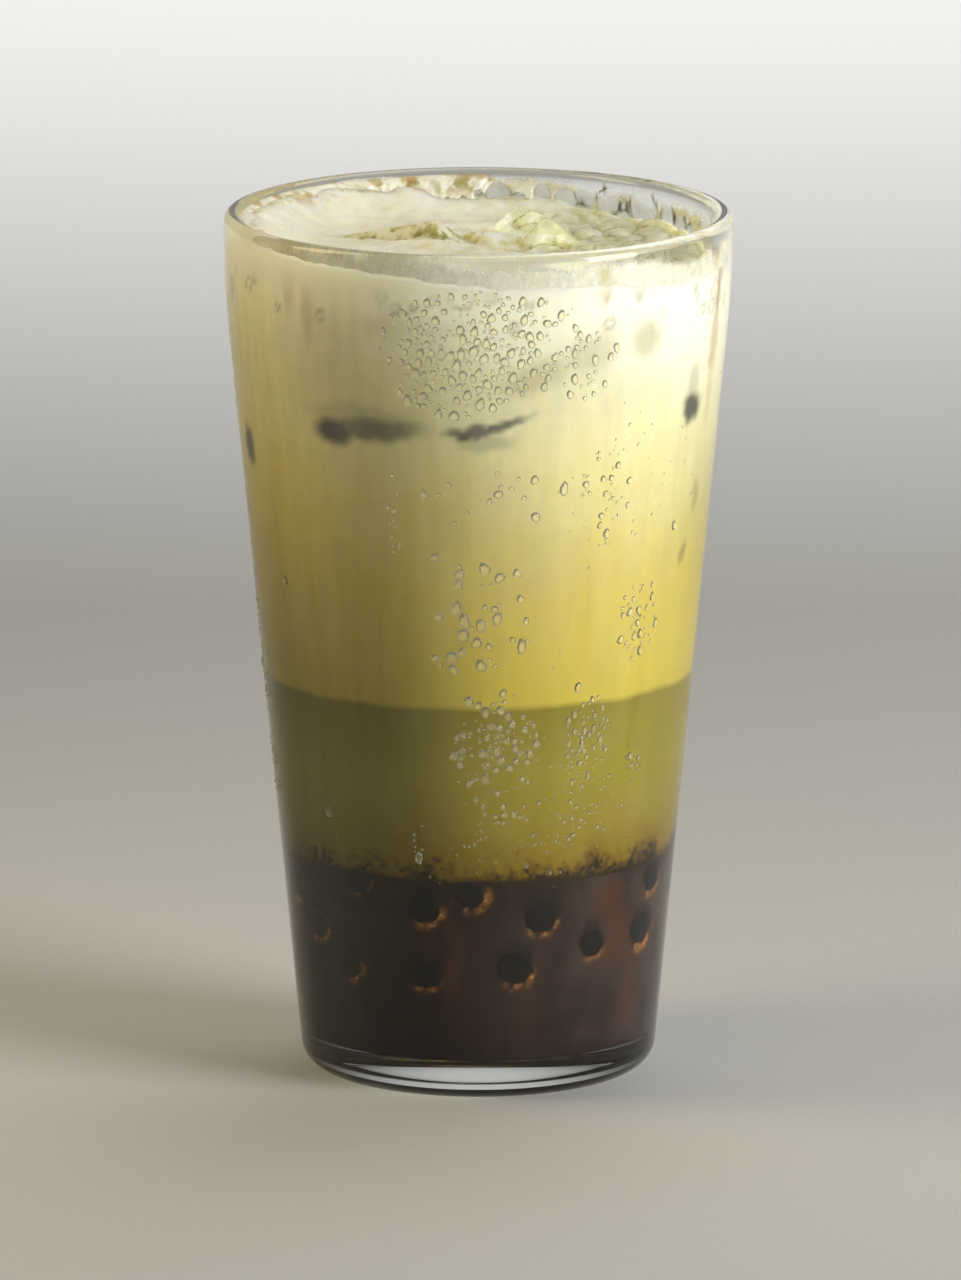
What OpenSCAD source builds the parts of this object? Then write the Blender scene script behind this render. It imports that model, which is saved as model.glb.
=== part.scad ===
// Iced matcha latte in a tapered tumbler: a dark syrup layer with tapioca pearls,
// green matcha, pale matcha milk and a thick milk foam that clings to the wall.
// Origin at the centre of the foot, +Z up. Millimetres.

/* [Glass] */
// Height from the table to the top of the lip
glass_h = 151; // [120:1:190]
// Outer diameter at the rim
rim_d = 88; // [74:1:110]
// Outer diameter of the cone where it would meet the table
foot_d = 61; // [50:1:72]
// Wall thickness at the rim
wall_t = 3; // [2:0.1:4]
// Wall thickness just above the floor
foot_wall_t = 3.4; // [2.4:0.1:5]
// Thickness of the clear floor
floor_t = 6.8; // [4:0.1:14]
// Height of the upright band under the rim
collar_h = 11; // [6:1:20]

/* [Roundings] */
// Radius of the heel between foot and wall
heel_r = 5; // [2:0.5:7]
// Radius of the corner between floor and inner wall
floor_r = 4; // [1:0.5:6]
// Radius of the gentle bend where the cone turns upright
collar_r = 170; // [60:10:200]
// Width of the flat ring it stands on
ring_w = 4.5; // [2:0.5:8]
// Depth of the dished underside
punt_h = 1.2; // [0.4:0.1:2]

/* [Drink] */
// Height of the top of the dark syrup above the table
syrup_top = 39; // [20:1:50]
// Height of the top of the green matcha above the table
matcha_top = 70.5; // [54:0.5:76]
// Depth of the foam, from its level down to the pale matcha milk
foam_depth = 29; // [20:1:35]
// How far the foam's level lies under the rim
foam_drop = 7; // [6:0.5:12]
// Gap left between the drink and the glass
film_gap = 0.15; // [0.1:0.05:0.3]

/* [Foam surface] */
// How much higher the foam stands at the left wall than at the middle
foam_slope = 0.8; // [0:0.1:1.5]
// How far the foam climbs the wall where it clings most
climb_h = 2; // [0:0.1:2.5]
// Width of the strip beside the wall in which it climbs
climb_w = 9; // [4:1:16]
// Direction in which it climbs most, from +X towards +Y
climb_dir = 155; // [0:5:355]
// Depth of the faint swirl in the foam
swirl_h = 0.25; // [0:0.05:0.4]
// Number of arms of the swirl
swirl_n = 3; // [2:1:6]

/* [Hidden] */

rim_r = rim_d / 2;
foot_r = foot_d / 2;
collar_z = glass_h - collar_h;
foam_z = glass_h - foam_drop;
milk_top = foam_z - foam_depth;

// Width of the flat left between the two roundings of the lip
lip_flat = 0.1;
lip_r = (wall_t - lip_flat) / 2;

// How far the dish's sloping edge runs in for each millimetre of its depth
punt_run = 4;
punt_edge = punt_run * punt_h;
punt_r = foot_r - heel_r - ring_w;
punt_edge_r = punt_edge / 2;

arc_steps = 10;
round_fn = 128;

// Soft heaps where ice lies under the foam, and one hollow where the bubbles
// stand: x, y, width and height of each
heaps = [[-7, 5, 6, 1.6], [5, -10, 8, 1.1], [-20, -9, 9, 0.8], [25, 15, 11, -0.9]];

sectors = 60;
rings = 10;
side_bands = 4;

// Outer radius of the cone at height z
function outer_r(z) = foot_r + (rim_r - foot_r) * z / collar_z;

function unit(v) = v / norm(v);

// Points along the arc of radius r that rounds corner b between a and c
function corner_arc(a, b, c, r) =
    let (u = unit(a - b), v = unit(c - b), half = acos(u * v) / 2)
    let (centre = b + unit(u + v) * r / sin(half))
    let (start = b + u * r / tan(half) - centre, end = b + v * r / tan(half) - centre)
    let (from = atan2(start.y, start.x), to = atan2(end.y, end.x))
    let (sweep = (to - from + 540) % 360 - 180)
    [for (i = [0 : arc_steps])
        let (at = from + sweep * i / arc_steps)
        centre + r * [cos(at), sin(at)]];

// A path of [radius, height, rounding] corners as points, with the corners rounded
function rounded(path) =
    [for (i = [0 : len(path) - 1])
        let (p = path[i], at = [p.x, p.y])
        each p.z > 0
            ? corner_arc([path[i - 1].x, path[i - 1].y], at, [path[i + 1].x, path[i + 1].y], p.z)
            : [at]];

// Inner wall from the axis at the floor up to the rim, drawn in by gap
function bore_path(gap) = [
    [0, floor_t + gap, 0],
    [outer_r(floor_t) - foot_wall_t - gap, floor_t + gap, floor_r],
    [rim_r - wall_t - gap, collar_z, collar_r],
    [rim_r - wall_t - gap, glass_h, 0],
];

fill_path = rounded(bore_path(film_gap));
fill_table = [for (p = fill_path) if (p.x > 0) [p.y, p.x]];

// Radius of the drink at height z, above the floor's rounding
function fill_r(z) = lookup(z, fill_table);

function smooth(t) = let (s = min(max(t, 0), 1)) s * s * (3 - 2 * s);

// Height that the heap h = [x, y, width, height] adds at the point x, y
function heap(x, y, h) = h[3] * exp(-pow(norm([x - h[0], y - h[1]]) / h[2], 2));

function sum(list, i = 0) = i < len(list) ? list[i] + sum(list, i + 1) : 0;

// Height of the foam's surface over the point x, y
function foam_top(x, y) =
    let (rho = norm([x, y]), turn = atan2(y, x), wall = fill_r(foam_z))
    let (cling = smooth((rho - wall + climb_w) / climb_w) * (0.5 + 0.5 * cos(turn - climb_dir)))
    let (swirl = sin(swirl_n * turn + 360 * rho / wall) * smooth(rho / wall))
    foam_z - foam_slope * x / wall + climb_h * cling + swirl_h * swirl
        + sum([for (h = heaps) heap(x, y, h)]);

// Height at which the foam meets the wall in direction turn
function foam_edge(turn) =
    let (wall = fill_r(foam_z))
    foam_top(wall * cos(turn), wall * sin(turn));

// One ring of the foam's upper surface, from 1 beside the middle to rings at the wall
function foam_ring(k) =
    [for (i = [0 : sectors - 1])
        let (turn = 360 * i / sectors, z = foam_edge(turn), rho = fill_r(z) * k / rings)
        let (x = rho * cos(turn), y = rho * sin(turn))
        [x, y, k == rings ? z : foam_top(x, y)]];

// One ring of the foam's side, from 1 under the edge to side_bands at its underside
function side_ring(k) =
    [for (i = [0 : sectors - 1])
        let (turn = 360 * i / sectors, edge = foam_edge(turn))
        let (z = edge + (milk_top - edge) * k / side_bands)
        [fill_r(z) * cos(turn), fill_r(z) * sin(turn), z]];

module glass() {
    outside = [
        [0, punt_h, 0],
        [punt_r - punt_edge, punt_h, punt_edge],
        [punt_r, 0, punt_edge_r],
        [foot_r, 0, heel_r],
        [rim_r, collar_z, collar_r],
        [rim_r, glass_h, lip_r],
    ];
    inside = bore_path(0);
    lip = [[rim_r - wall_t, glass_h, lip_r]];
    down = [for (i = [len(inside) - 2 : -1 : 0]) inside[i]];
    color("lightcyan", 0.4)
        rotate_extrude($fn = round_fn)
            polygon(rounded(concat(outside, lip, down)));
}

// The drink between two heights, filling the bore
module layer(low, high) {
    intersection() {
        rotate_extrude($fn = round_fn)
            polygon(concat(fill_path, [[0, glass_h]]));
        translate([0, 0, low])
            cylinder(r = rim_r, h = high - low, $fn = round_fn);
    }
}

module pearl_syrup() {
    color([0.17, 0.11, 0.09]) layer(0, syrup_top);
}

module matcha() {
    color([0.46, 0.43, 0.12]) layer(syrup_top, matcha_top);
}

module milk() {
    color([0.82, 0.77, 0.45]) layer(matcha_top, milk_top);
}

module foam() {
    shells = [for (k = [1 : rings]) foam_ring(k), for (k = [1 : side_bands]) side_ring(k)];
    middle = [[0, 0, foam_top(0, 0)]];
    last = len(shells) - 1;
    color([0.95, 0.93, 0.85])
        polyhedron(
            points = concat(middle, [for (s = shells) each s]),
            faces = concat(
                [for (i = [0 : sectors - 1]) [0, 1 + (i + 1) % sectors, 1 + i]],
                [for (k = [0 : last - 1], i = [0 : sectors - 1])
                    let (a = 1 + k * sectors, b = a + sectors, j = (i + 1) % sectors)
                    each [[a + i, a + j, b + j], [a + i, b + j, b + i]]],
                [[for (i = [0 : sectors - 1]) 1 + last * sectors + i]]
            )
        );
}

glass();
pearl_syrup();
matcha();
milk();
foam();
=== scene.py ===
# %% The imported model
import math

import bpy
import numpy as np
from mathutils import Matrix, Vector


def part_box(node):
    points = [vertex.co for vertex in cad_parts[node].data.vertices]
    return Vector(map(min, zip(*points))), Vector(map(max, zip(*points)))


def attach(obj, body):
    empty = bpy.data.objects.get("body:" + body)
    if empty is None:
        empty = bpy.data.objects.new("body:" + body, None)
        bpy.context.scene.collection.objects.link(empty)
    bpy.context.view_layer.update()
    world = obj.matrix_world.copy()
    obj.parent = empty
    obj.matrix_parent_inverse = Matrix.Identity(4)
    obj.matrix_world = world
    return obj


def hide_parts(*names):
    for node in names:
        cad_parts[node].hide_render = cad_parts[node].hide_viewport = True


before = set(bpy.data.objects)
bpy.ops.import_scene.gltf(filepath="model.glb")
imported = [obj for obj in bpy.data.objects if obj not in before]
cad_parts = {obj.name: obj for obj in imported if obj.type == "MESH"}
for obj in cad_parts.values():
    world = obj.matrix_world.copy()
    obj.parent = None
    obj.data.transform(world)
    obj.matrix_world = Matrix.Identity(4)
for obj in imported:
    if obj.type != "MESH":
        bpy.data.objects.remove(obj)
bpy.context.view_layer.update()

# %% [markdown]
# # An iced matcha latte in its glass
#
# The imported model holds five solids: the glass and four layers of drink. They give the size and the place of
# everything here. This lesson puts the looks round them. The glass is lathed again with a finer skin, each
# layer becomes a body of liquid that touches the wall, and then come the pearls, the ice, the bubbles, the
# foam left on the wall and the beads of condensation outside.
#
# All shapes are worked out in millimetres and turned into metres when a mesh is made.

# %% Units and measures from the frame
MM = 0.001


def node_box(node):
    """Lowest and highest corner of a CAD node, in millimetres."""
    return [np.array(corner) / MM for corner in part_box(node)]


glass_high = node_box("glass")[1]
GLASS_H = glass_high[2]
RIM_R = glass_high[0]
SYRUP_TOP = node_box("pearl_syrup")[1][2]
MATCHA_TOP = node_box("matcha")[1][2]
MILK_TOP = node_box("milk")[1][2]
print("glass", round(GLASS_H, 1), "mm high, rim radius", round(RIM_R, 1), "mm")
print("layers end at", round(SYRUP_TOP, 1), round(MATCHA_TOP, 1), round(MILK_TOP, 1), "mm")

# %% [markdown]
# ## Small tools
#
# Nearly every piece below is a grid of points: rows that follow one another and columns that close into a
# ring. One function turns such a grid into a mesh and shuts its two ends with a single point each. Working
# with whole arrays keeps the formulas short, and the mesh is as smooth as the grid is fine.

# %% Grid to mesh


def skin(name, grid, caps=True):
    """A mesh from a (rows, columns, 3) grid in millimetres whose columns close into rings.

    The first and last ring are each shut by a fan round their middle when caps is true.
    """
    rows, columns = grid.shape[:2]
    points = grid.reshape(-1, 3)
    first = np.arange(rows - 1)[:, None] * columns
    here = np.arange(columns)[None, :]
    after = (here + 1) % columns
    quads = np.stack([first + here, first + after, first + columns + after, first + columns + here], -1)
    faces = quads.reshape(-1, 4).tolist()
    if caps:
        middles = np.stack([grid[0].mean(0), grid[-1].mean(0)])
        points = np.concatenate([points, middles])
        start, end = len(points) - 2, len(points) - 1
        last = (rows - 1) * columns
        here, after = here[0], after[0]
        faces += np.stack([after, here, np.full(columns, start)], -1).tolist()
        faces += np.stack([last + here, last + after, np.full(columns, end)], -1).tolist()
    return mesh_piece(name, points, faces)


def mesh_piece(name, points, faces):
    """A smooth-shaded object at the origin with the given points in millimetres."""
    mesh = bpy.data.meshes.new(name)
    mesh.from_pydata((points * MM).tolist(), [], faces)
    mesh.polygons.foreach_set("use_smooth", np.ones(len(mesh.polygons), bool))
    mesh.update()
    piece = bpy.data.objects.new(name, mesh)
    bpy.context.scene.collection.objects.link(piece)
    return piece


def places(piece):
    """The piece's vertices as an (n, 3) array in millimetres."""
    spots = np.empty(len(piece.data.vertices) * 3, np.float32)
    piece.data.vertices.foreach_get("co", spots)
    return spots.reshape(-1, 3).astype(float) / MM


def paint(piece, name, values):
    """Stores one number for each vertex, which a material reads by name."""
    piece.data.attributes.new(name, "FLOAT", "POINT").data.foreach_set("value", np.float32(values))


# %% [markdown]
# Liquids and foam are never even, so many shapes and masks need smooth random values. A lattice of random
# numbers, blended between its corners, gives them; adding finer and finer copies makes them cloudy. Each use
# names its own seed, so the drink comes out the same every time.

# %% Smooth random values
LATTICE = 24


def smooth(t):
    """0 below 0, 1 above 1 and s * s * (3 - 2 s) between."""
    s = np.clip(t, 0, 1)
    return s * s * (3 - 2 * s)


def wander(spots, size, seed):
    """Random values from 0 to 1 that change smoothly over about size millimetres."""
    table = np.random.default_rng(seed).random((LATTICE, LATTICE, LATTICE))
    cell = np.asarray(spots) / size
    corner = np.floor(cell).astype(int)
    share = smooth(cell - corner)
    total = 0
    for step in np.ndindex(2, 2, 2):
        weight = np.prod(np.where(step, share, 1 - share), axis=-1)
        at = (corner + step) % LATTICE
        total = total + weight * table[at[..., 0], at[..., 1], at[..., 2]]
    return total


def cloudy(spots, size, seed, octaves=3):
    """wander() with octaves finer copies, each half the size and half the strength."""
    layers = [wander(spots, size / 2**k, seed + k) / 2**k for k in range(octaves)]
    return sum(layers) / sum(1 / 2**k for k in range(octaves))


# %% [markdown]
# ## Where the walls are
#
# The glass is a straight cone that turns upright in a band under the rim. A place on its wall is named by its
# height and its bearing: 0 degrees faces the viewer and 90 degrees is to the viewer's right. The corners of
# its section are rounded by arcs, exactly as in the solid model.

# %% The glass's section
COLLAR_H = 11
FOOT_R = 30.5
RIM_WALL = 3.0
FOOT_WALL = 3.4
FLOOR_T = 6.8
HEEL_R = 5
CORNER_R = 4
COLLAR_R = 170
LIP_R = 1.45
DISH_R = 21
DISH_H = 1.2
DISH_EDGE = 4.8
COLLAR_Z = GLASS_H - COLLAR_H


def unit(v):
    return v / np.linalg.norm(v)


def arc(before, corner, after, radius, steps):
    """Points on the circle that touches both sides of a corner."""
    u, v = unit(before - corner), unit(after - corner)
    half = math.acos(np.clip(u @ v, -1, 1)) / 2
    centre = corner + unit(u + v) * radius / math.sin(half)
    start = corner + u * radius / math.tan(half) - centre
    end = corner + v * radius / math.tan(half) - centre
    turn = math.atan2(start[0] * end[1] - start[1] * end[0], start @ end)
    at = math.atan2(start[1], start[0]) + np.linspace(0, turn, steps)
    return centre + radius * np.stack([np.cos(at), np.sin(at)], -1)


def rounded(corners, steps=9):
    """A path of (radius, height, rounding) corners as points."""
    path = np.array(corners, float)
    out = []
    for i, (r, z, rounding) in enumerate(path):
        if rounding > 0:
            out.append(arc(path[i - 1, :2], path[i, :2], path[i + 1, :2], rounding, steps))
        else:
            out.append(path[i : i + 1, :2])
    return np.concatenate(out)


def cone_r(z):
    """Radius of the straight outer cone at height z."""
    return FOOT_R + (RIM_R - FOOT_R) * z / COLLAR_Z


OUTSIDE = [
    (0, DISH_H, 0),
    (DISH_R - DISH_EDGE, DISH_H, DISH_EDGE),
    (DISH_R, 0, DISH_EDGE / 2),
    (FOOT_R, 0, HEEL_R),
    (RIM_R, COLLAR_Z, COLLAR_R),
    (RIM_R, GLASS_H, LIP_R),
]
INSIDE = [
    (RIM_R - RIM_WALL, GLASS_H, LIP_R),
    (RIM_R - RIM_WALL, COLLAR_Z, COLLAR_R),
    (cone_r(FLOOR_T) - FOOT_WALL, FLOOR_T, CORNER_R),
    (0, FLOOR_T, 0),
]
section = rounded(OUTSIDE + INSIDE)
inner_path = rounded([(RIM_R - RIM_WALL, GLASS_H, 0)] + INSIDE[1:])[::-1]
outer_path = rounded(OUTSIDE[:-1] + [(RIM_R, GLASS_H, 0)])


def bore_r(z):
    """Radius of the inner wall at height z."""
    return np.interp(z, inner_path[1:, 1], inner_path[1:, 0])


def wall_r(z):
    """Radius of the outer wall at height z, above the heel."""
    above = outer_path[:, 0] > DISH_R + DISH_EDGE
    return np.interp(z, outer_path[above, 1], outer_path[above, 0])


def on_ring(radius, bearing, z):
    """Points at a radius, a bearing in degrees and a height; any of them may be arrays."""
    turn = np.radians(bearing)
    return np.stack(np.broadcast_arrays(radius * np.sin(turn), -radius * np.cos(turn), z), -1)


def bearing_of(spots):
    return np.degrees(np.arctan2(spots[..., 0], -spots[..., 1]))


print("bore radius at the matcha's top", bore_r(MATCHA_TOP), "and CAD's", node_box("matcha")[1][0])

# %% [markdown]
# ## Materials as sums
#
# A material's pattern is a sum of simple terms, so a small class stands for one number in the node tree and
# lets Python's own + - * / write the Math nodes. Everything else is made by one method that takes the kind of
# node, its settings and its inputs.

# %% Shader arithmetic


class Number:
    """One value in a node tree. Sums and products of it add Math nodes."""

    def __init__(self, finish, socket):
        self.finish, self.socket = finish, socket

    def math(self, operation, *others):
        return self.finish.add("ShaderNodeMath", {"operation": operation}, dict(enumerate([self, *others])))

    def __add__(self, other):
        return self.math("ADD", other)

    def __sub__(self, other):
        return self.math("SUBTRACT", other)

    def __mul__(self, other):
        return self.math("MULTIPLY", other)

    def __truediv__(self, other):
        return self.math("DIVIDE", other)

    def __rsub__(self, other):
        return self.finish.add("ShaderNodeMath", {"operation": "SUBTRACT"}, {0: other, 1: self})

    __radd__ = __add__
    __rmul__ = __mul__

    def step(self, low, high):
        """0 below low, 1 above high, smooth between."""
        settings = {"interpolation_type": "SMOOTHSTEP"}
        inputs = {"Value": self, "From Min": low, "From Max": high}
        return self.finish.add("ShaderNodeMapRange", settings, inputs)


class Finish:
    """One material and the nodes that make it."""

    def __init__(self, name):
        self.material = bpy.data.materials.new(name)
        self.material.use_nodes = True
        self.tree = self.material.node_tree
        self.tree.nodes.clear()
        self.output = self.tree.nodes.new("ShaderNodeOutputMaterial")
        self.spots = self.add("ShaderNodeTexCoord", {}, {}, "Object")

    def add(self, kind, settings, inputs, out=0):
        """Makes a node, sets its settings and then its inputs, as values or links, and returns one output."""
        node = self.tree.nodes.new(kind)
        for key, value in settings.items():
            if key == "stops":
                self.set_stops(node.color_ramp, value)
            else:
                setattr(node, key, value)
        for key, value in inputs.items():
            if isinstance(value, Number):
                self.tree.links.new(value.socket, node.inputs[key])
            else:
                node.inputs[key].default_value = value
        return Number(self, node.outputs[out])

    def set_stops(self, ramp, stops):
        while len(ramp.elements) < len(stops):
            ramp.elements.new(1)
        for element, (at, colour) in zip(ramp.elements, stops):
            element.position = at
            element.color = (*colour, 1)

    def axis(self, letter):
        """The object's own X, Y or Z at this spot, in millimetres."""
        split = self.add("ShaderNodeSeparateXYZ", {}, {"Vector": self.spots}, letter)
        return split * (1 / MM)

    def stretched(self, x, y, z):
        """The object coordinates, each multiplied by its own number."""
        return self.add("ShaderNodeVectorMath", {"operation": "MULTIPLY"}, {0: self.spots, 1: (x, y, z)})

    def noise(self, size, detail=2, roughness=0.5, where=None):
        """Cloudy values round 0.5, with patches about size millimetres wide."""
        inputs = {
            "Vector": where or self.spots,
            "Scale": 1 / (size * MM),
            "Detail": detail,
            "Roughness": roughness,
        }
        return self.add("ShaderNodeTexNoise", {}, inputs, "Fac")

    def cells(self, size, settings=None):
        """Distances in a pattern of cells about size millimetres wide."""
        inputs = {"Vector": self.spots, "Scale": 1 / (size * MM)}
        return self.add("ShaderNodeTexVoronoi", settings or {}, inputs, "Distance")

    def scaled(self, colour, factor):
        """A colour with each of its parts multiplied by a number."""
        return self.add("ShaderNodeVectorMath", {"operation": "SCALE"}, {0: colour, "Scale": factor})

    def clear_to_lamps(self, body, tint):
        """The body for eyes, but plain see-through for rays that look for a lamp."""
        lamplight = self.add("ShaderNodeBsdfTransparent", {}, {"Color": pigment(tint)})
        shadow_ray = self.add("ShaderNodeLightPath", {}, {}, "Is Shadow Ray")
        return self.add("ShaderNodeMixShader", {}, {0: shadow_ray, 1: body, 2: lamplight})

    def attribute(self, name):
        return self.add("ShaderNodeAttribute", {"attribute_name": name}, {}, "Fac")

    def mix(self, factor, first, second):
        """first where factor is 0, second where it is 1; both are colours."""
        inputs = {"Factor": factor, 6: pigment(first), 7: pigment(second)}
        settings = {"data_type": "RGBA"}
        return self.add("ShaderNodeMix", settings, inputs, 2)

    def bump(self, height, distance, strength=1.0):
        """A normal for relief whose height of 1 stands for distance millimetres."""
        inputs = {"Height": height, "Distance": distance * MM, "Strength": strength}
        return self.add("ShaderNodeBump", {}, inputs)

    def surface(self, **inputs):
        """A Principled surface; an underscore in a name stands for a space."""
        named = {key.replace("_", " "): value for key, value in inputs.items()}
        return self.add("ShaderNodeBsdfPrincipled", {}, named)

    def finish(self, shader):
        self.tree.links.new(shader.socket, self.output.inputs["Surface"])
        return self.material


def pigment(colour):
    """A colour given as three numbers gets its fourth."""
    return (*colour, 1) if isinstance(colour, tuple) else colour


def wear(piece, material, slot, *nodes):
    """Gives a piece its material, hangs it under the root body and hides the CAD nodes it stands in for."""
    piece.data.materials.clear()
    piece.data.materials.append(material)
    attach(piece, "root")
    if nodes:
        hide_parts(*nodes)
    print(piece.name, "has", len(piece.data.polygons), "faces")
    return piece


# %% [markdown]
# ## Camera, floor and light
#
# A long lens from two and a half metres keeps the glass's sides straight. A big soft lamp stands to the right
# and a little in front, and a small warm one hangs close by on the left, so that the foam there is lit more
# than the matcha below it. One overhead lights the foam's surface from behind. A pale sweep of paper is floor
# and background in one, and a fourth lamp lights its wall: the thick foot of the glass mirrors that wall, so
# it looks bright only if the wall does. The wall stands well back, for views from behind.

# %% Camera
TARGET = (0.0004, 0, 0.0752)
CAMERA_ELEVATION = 12.06
CAMERA_DISTANCE = 2.5
LENS = 404.7

tilt = math.radians(CAMERA_ELEVATION)
camera = bpy.data.objects.new("camera", bpy.data.cameras.new("camera"))
camera.data.lens = LENS
camera.data.clip_end = 20
camera.location = (
    TARGET[0],
    TARGET[1] - CAMERA_DISTANCE * math.cos(tilt),
    TARGET[2] + CAMERA_DISTANCE * math.sin(tilt),
)
camera.rotation_euler = (math.pi / 2 - tilt, 0, 0)
bpy.context.scene.collection.objects.link(camera)
bpy.context.scene.camera = camera
bpy.context.scene.view_settings.view_transform = "Standard"

# %% Lamps


def lamp(name, bearing, elevation, distance, width, height, power, colour, aim=(0, 0, 0.0755)):
    """A rectangular lamp at a bearing and elevation from the glass's middle; aim is a point in metres."""
    light = bpy.data.lights.new(name, "AREA")
    light.shape = "RECTANGLE"
    light.size, light.size_y = width, height
    light.energy = power
    light.color = colour
    holder = bpy.data.objects.new(name, light)
    turn, rise = math.radians(bearing), math.radians(elevation)
    holder.location = (
        distance * math.sin(turn) * math.cos(rise),
        -distance * math.cos(turn) * math.cos(rise),
        distance * math.sin(rise) + GLASS_H * MM / 2,
    )
    holder.rotation_euler = (Vector(aim) - holder.location).to_track_quat("-Z", "Y").to_euler()
    bpy.context.scene.collection.objects.link(holder)


# name, bearing, elevation, distance, width, height, power, colour
lamp("window", 62, 17, 1.1, 0.5, 0.8, 11.3, (1.0, 0.99, 0.96))
lamp("warm strip", -84, 48, 0.36, 0.12, 0.22, 0.42, (1.0, 0.83, 0.46))
lamp("ceiling", 150, 62, 1.2, 0.8, 0.8, 4.2, (1.0, 0.98, 0.91))
lamp("backdrop", 180, 50, 1.5, 1.6, 0.5, 38, (1.0, 1.0, 1.0), aim=(0, 2.9, 0.3))

world = bpy.data.worlds.new("studio")
world.use_nodes = True
world.node_tree.nodes["Background"].inputs["Color"].default_value = (0.86, 0.87, 0.88, 1)
world.node_tree.nodes["Background"].inputs["Strength"].default_value = 0.02
bpy.context.scene.world = world

# %% Floor
SWEEP_FRONT = -6.0
SWEEP_BACK = 2.9
SWEEP_RADIUS = 0.5
SWEEP_HALF = 6.0
SWEEP_TOP = 3.0


def paper_sweep():
    """A sheet that runs back along the floor, bends up through a quarter circle and stands behind."""
    bend = np.linspace(0, np.pi / 2, 17)
    back = SWEEP_BACK + SWEEP_RADIUS * np.sin(bend)
    up = SWEEP_RADIUS * (1 - np.cos(bend))
    run = np.concatenate([[[SWEEP_FRONT, 0]], np.stack([back, up], -1), [[back[-1], SWEEP_TOP]]])
    sides = np.array([[-SWEEP_HALF, SWEEP_HALF]])
    points = np.stack(np.broadcast_arrays(sides, run[:, :1], run[:, 1:]), -1)
    near = np.arange(len(run) - 1) * 2
    faces = np.stack([near, near + 1, near + 3, near + 2], -1).tolist()
    return mesh_piece("floor", points.reshape(-1, 3) / MM, faces)


def paper():
    """Pale uncoated paper with a hardly visible tooth."""
    f = Finish("pale paper")
    grain = f.noise(2, 3)
    colour = f.mix(grain, (0.64, 0.64, 0.63), (0.68, 0.68, 0.67))
    return f.finish(f.surface(Base_Color=colour, Roughness=0.9))


floor = paper_sweep()
floor.data.materials.append(paper())

# %% [markdown]
# ## The tumbler
#
# The real glass is blown or pressed into a mould and then fire-polished, so its section is all soft curves.
# It could stay the CAD mesh, but light that passes a faceted wall breaks into stripes. So the same section
# is spun again with many columns. Clear glass lets lamps through to the drink by being see-through to shadow
# rays, which keeps the picture clean without tracing caustics.

# %% Tumbler
COLUMNS = 480
GLASS_IOR = 1.5
POLE_R = 0.4  # the first and last ring are this wide, and a fan shuts them
bearings = np.arange(COLUMNS) * 360 / COLUMNS


def spun(name, path):
    """A closed piece of revolution: path runs from the axis to the axis as (radius, height)."""
    path = np.maximum(path, (POLE_R, -1))
    return skin(name, on_ring(path[:, 0][:, None], bearings[None, :], path[:, 1][:, None]))


def clear_glass():
    """Soda-lime glass: colourless in the wall, faintly green where light runs through the thick foot."""
    f = Finish("clear glass")
    ripple = f.noise(14, 1, where=f.stretched(1, 1, 0.35))
    body = f.surface(
        Base_Color=(0.955, 0.975, 0.96, 1),
        Roughness=0.0,
        IOR=GLASS_IOR,
        Transmission_Weight=1.0,
        Normal=f.bump(ripple, 0.06),
    )
    return f.finish(f.clear_to_lamps(body, (0.93, 0.95, 0.93)))


tumbler = wear(spun("tumbler", section), clear_glass(), "clear_glass", "glass")

# %% [markdown]
# ## The drink
#
# Syrup, matcha, matcha milk and foam are poured in that order and hardly mix. Where two meet there is no skin
# between them: the colour changes over a millimetre or, under the foam, over a centimetre. So all four bodies
# share one rule for colour by height, and clouds of noise push that height up and down. Each body reaches a
# little way into the wall, because a film of air between drink and glass would mirror like quicksilver.

# %% The pearls' places
REACH = 0.12
PEARL_PRESS = 0.06

# bearing, height and radius of the pearls that lean on the wall
FRONT_PEARLS = [
    (-40, 38.5, 3.0), (-17, 34.8, 3.6), (-2.5, 37.6, 3.3), (20, 33, 3.7), (39, 27.2, 3.2), (62, 28, 3.9),
    (-17.5, 23, 3.6), (12, 24.2, 3.9), (-46, 23, 3.2), (-60, 29, 3.4), (66, 36.5, 3.3), (-74, 35, 3.5),
]
BACK_PEARLS = 22
BACK_BEARINGS = (82, 278)
PEARL_SIZES = (3.0, 3.9)
PEARL_LOW = 12
PEARL_GAP = 0.8


def pearl_places():
    """The pearls seen from the front, then others scattered round the back with room between them."""
    pearls = [np.array(pearl, float) for pearl in FRONT_PEARLS]
    random = np.random.default_rng(11)
    while len(pearls) < len(FRONT_PEARLS) + BACK_PEARLS:
        place = random.uniform(*BACK_BEARINGS), random.uniform(PEARL_LOW, SYRUP_TOP - 1.5)
        new = np.array([*place, random.uniform(*PEARL_SIZES)])
        across = [np.radians((new[0] - old[0] + 180) % 360 - 180) * bore_r(new[1]) for old in pearls]
        apart = [math.hypot(a, new[1] - old[1]) - new[2] - old[2] for a, old in zip(across, pearls)]
        if min(apart) > PEARL_GAP:
            pearls.append(new)
    return np.array(pearls)


pearl_spots = pearl_places()
print(len(pearl_spots), "pearls lean on the wall")

# %% Marks on the drink's side


def off(spots, bearing, z):
    """How far spots on the wall lie right of and above a place, in millimetres."""
    turn = (bearing_of(spots) - bearing + 180) % 360 - 180
    return np.radians(turn) * bore_r(spots[:, 2]), spots[:, 2] - z


def spot(spots, bearing, z, half_w, half_h, soft=0.5, lean=0.0):
    """1 inside an oval on the wall, fading to 0 over soft of its size; lean raises its right-hand end."""
    right, up = off(spots, bearing, z)
    far = np.hypot(right / half_w, (up - lean * right) / half_h)
    return 1 - smooth((far - 1 + soft / 2) / soft)


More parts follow.
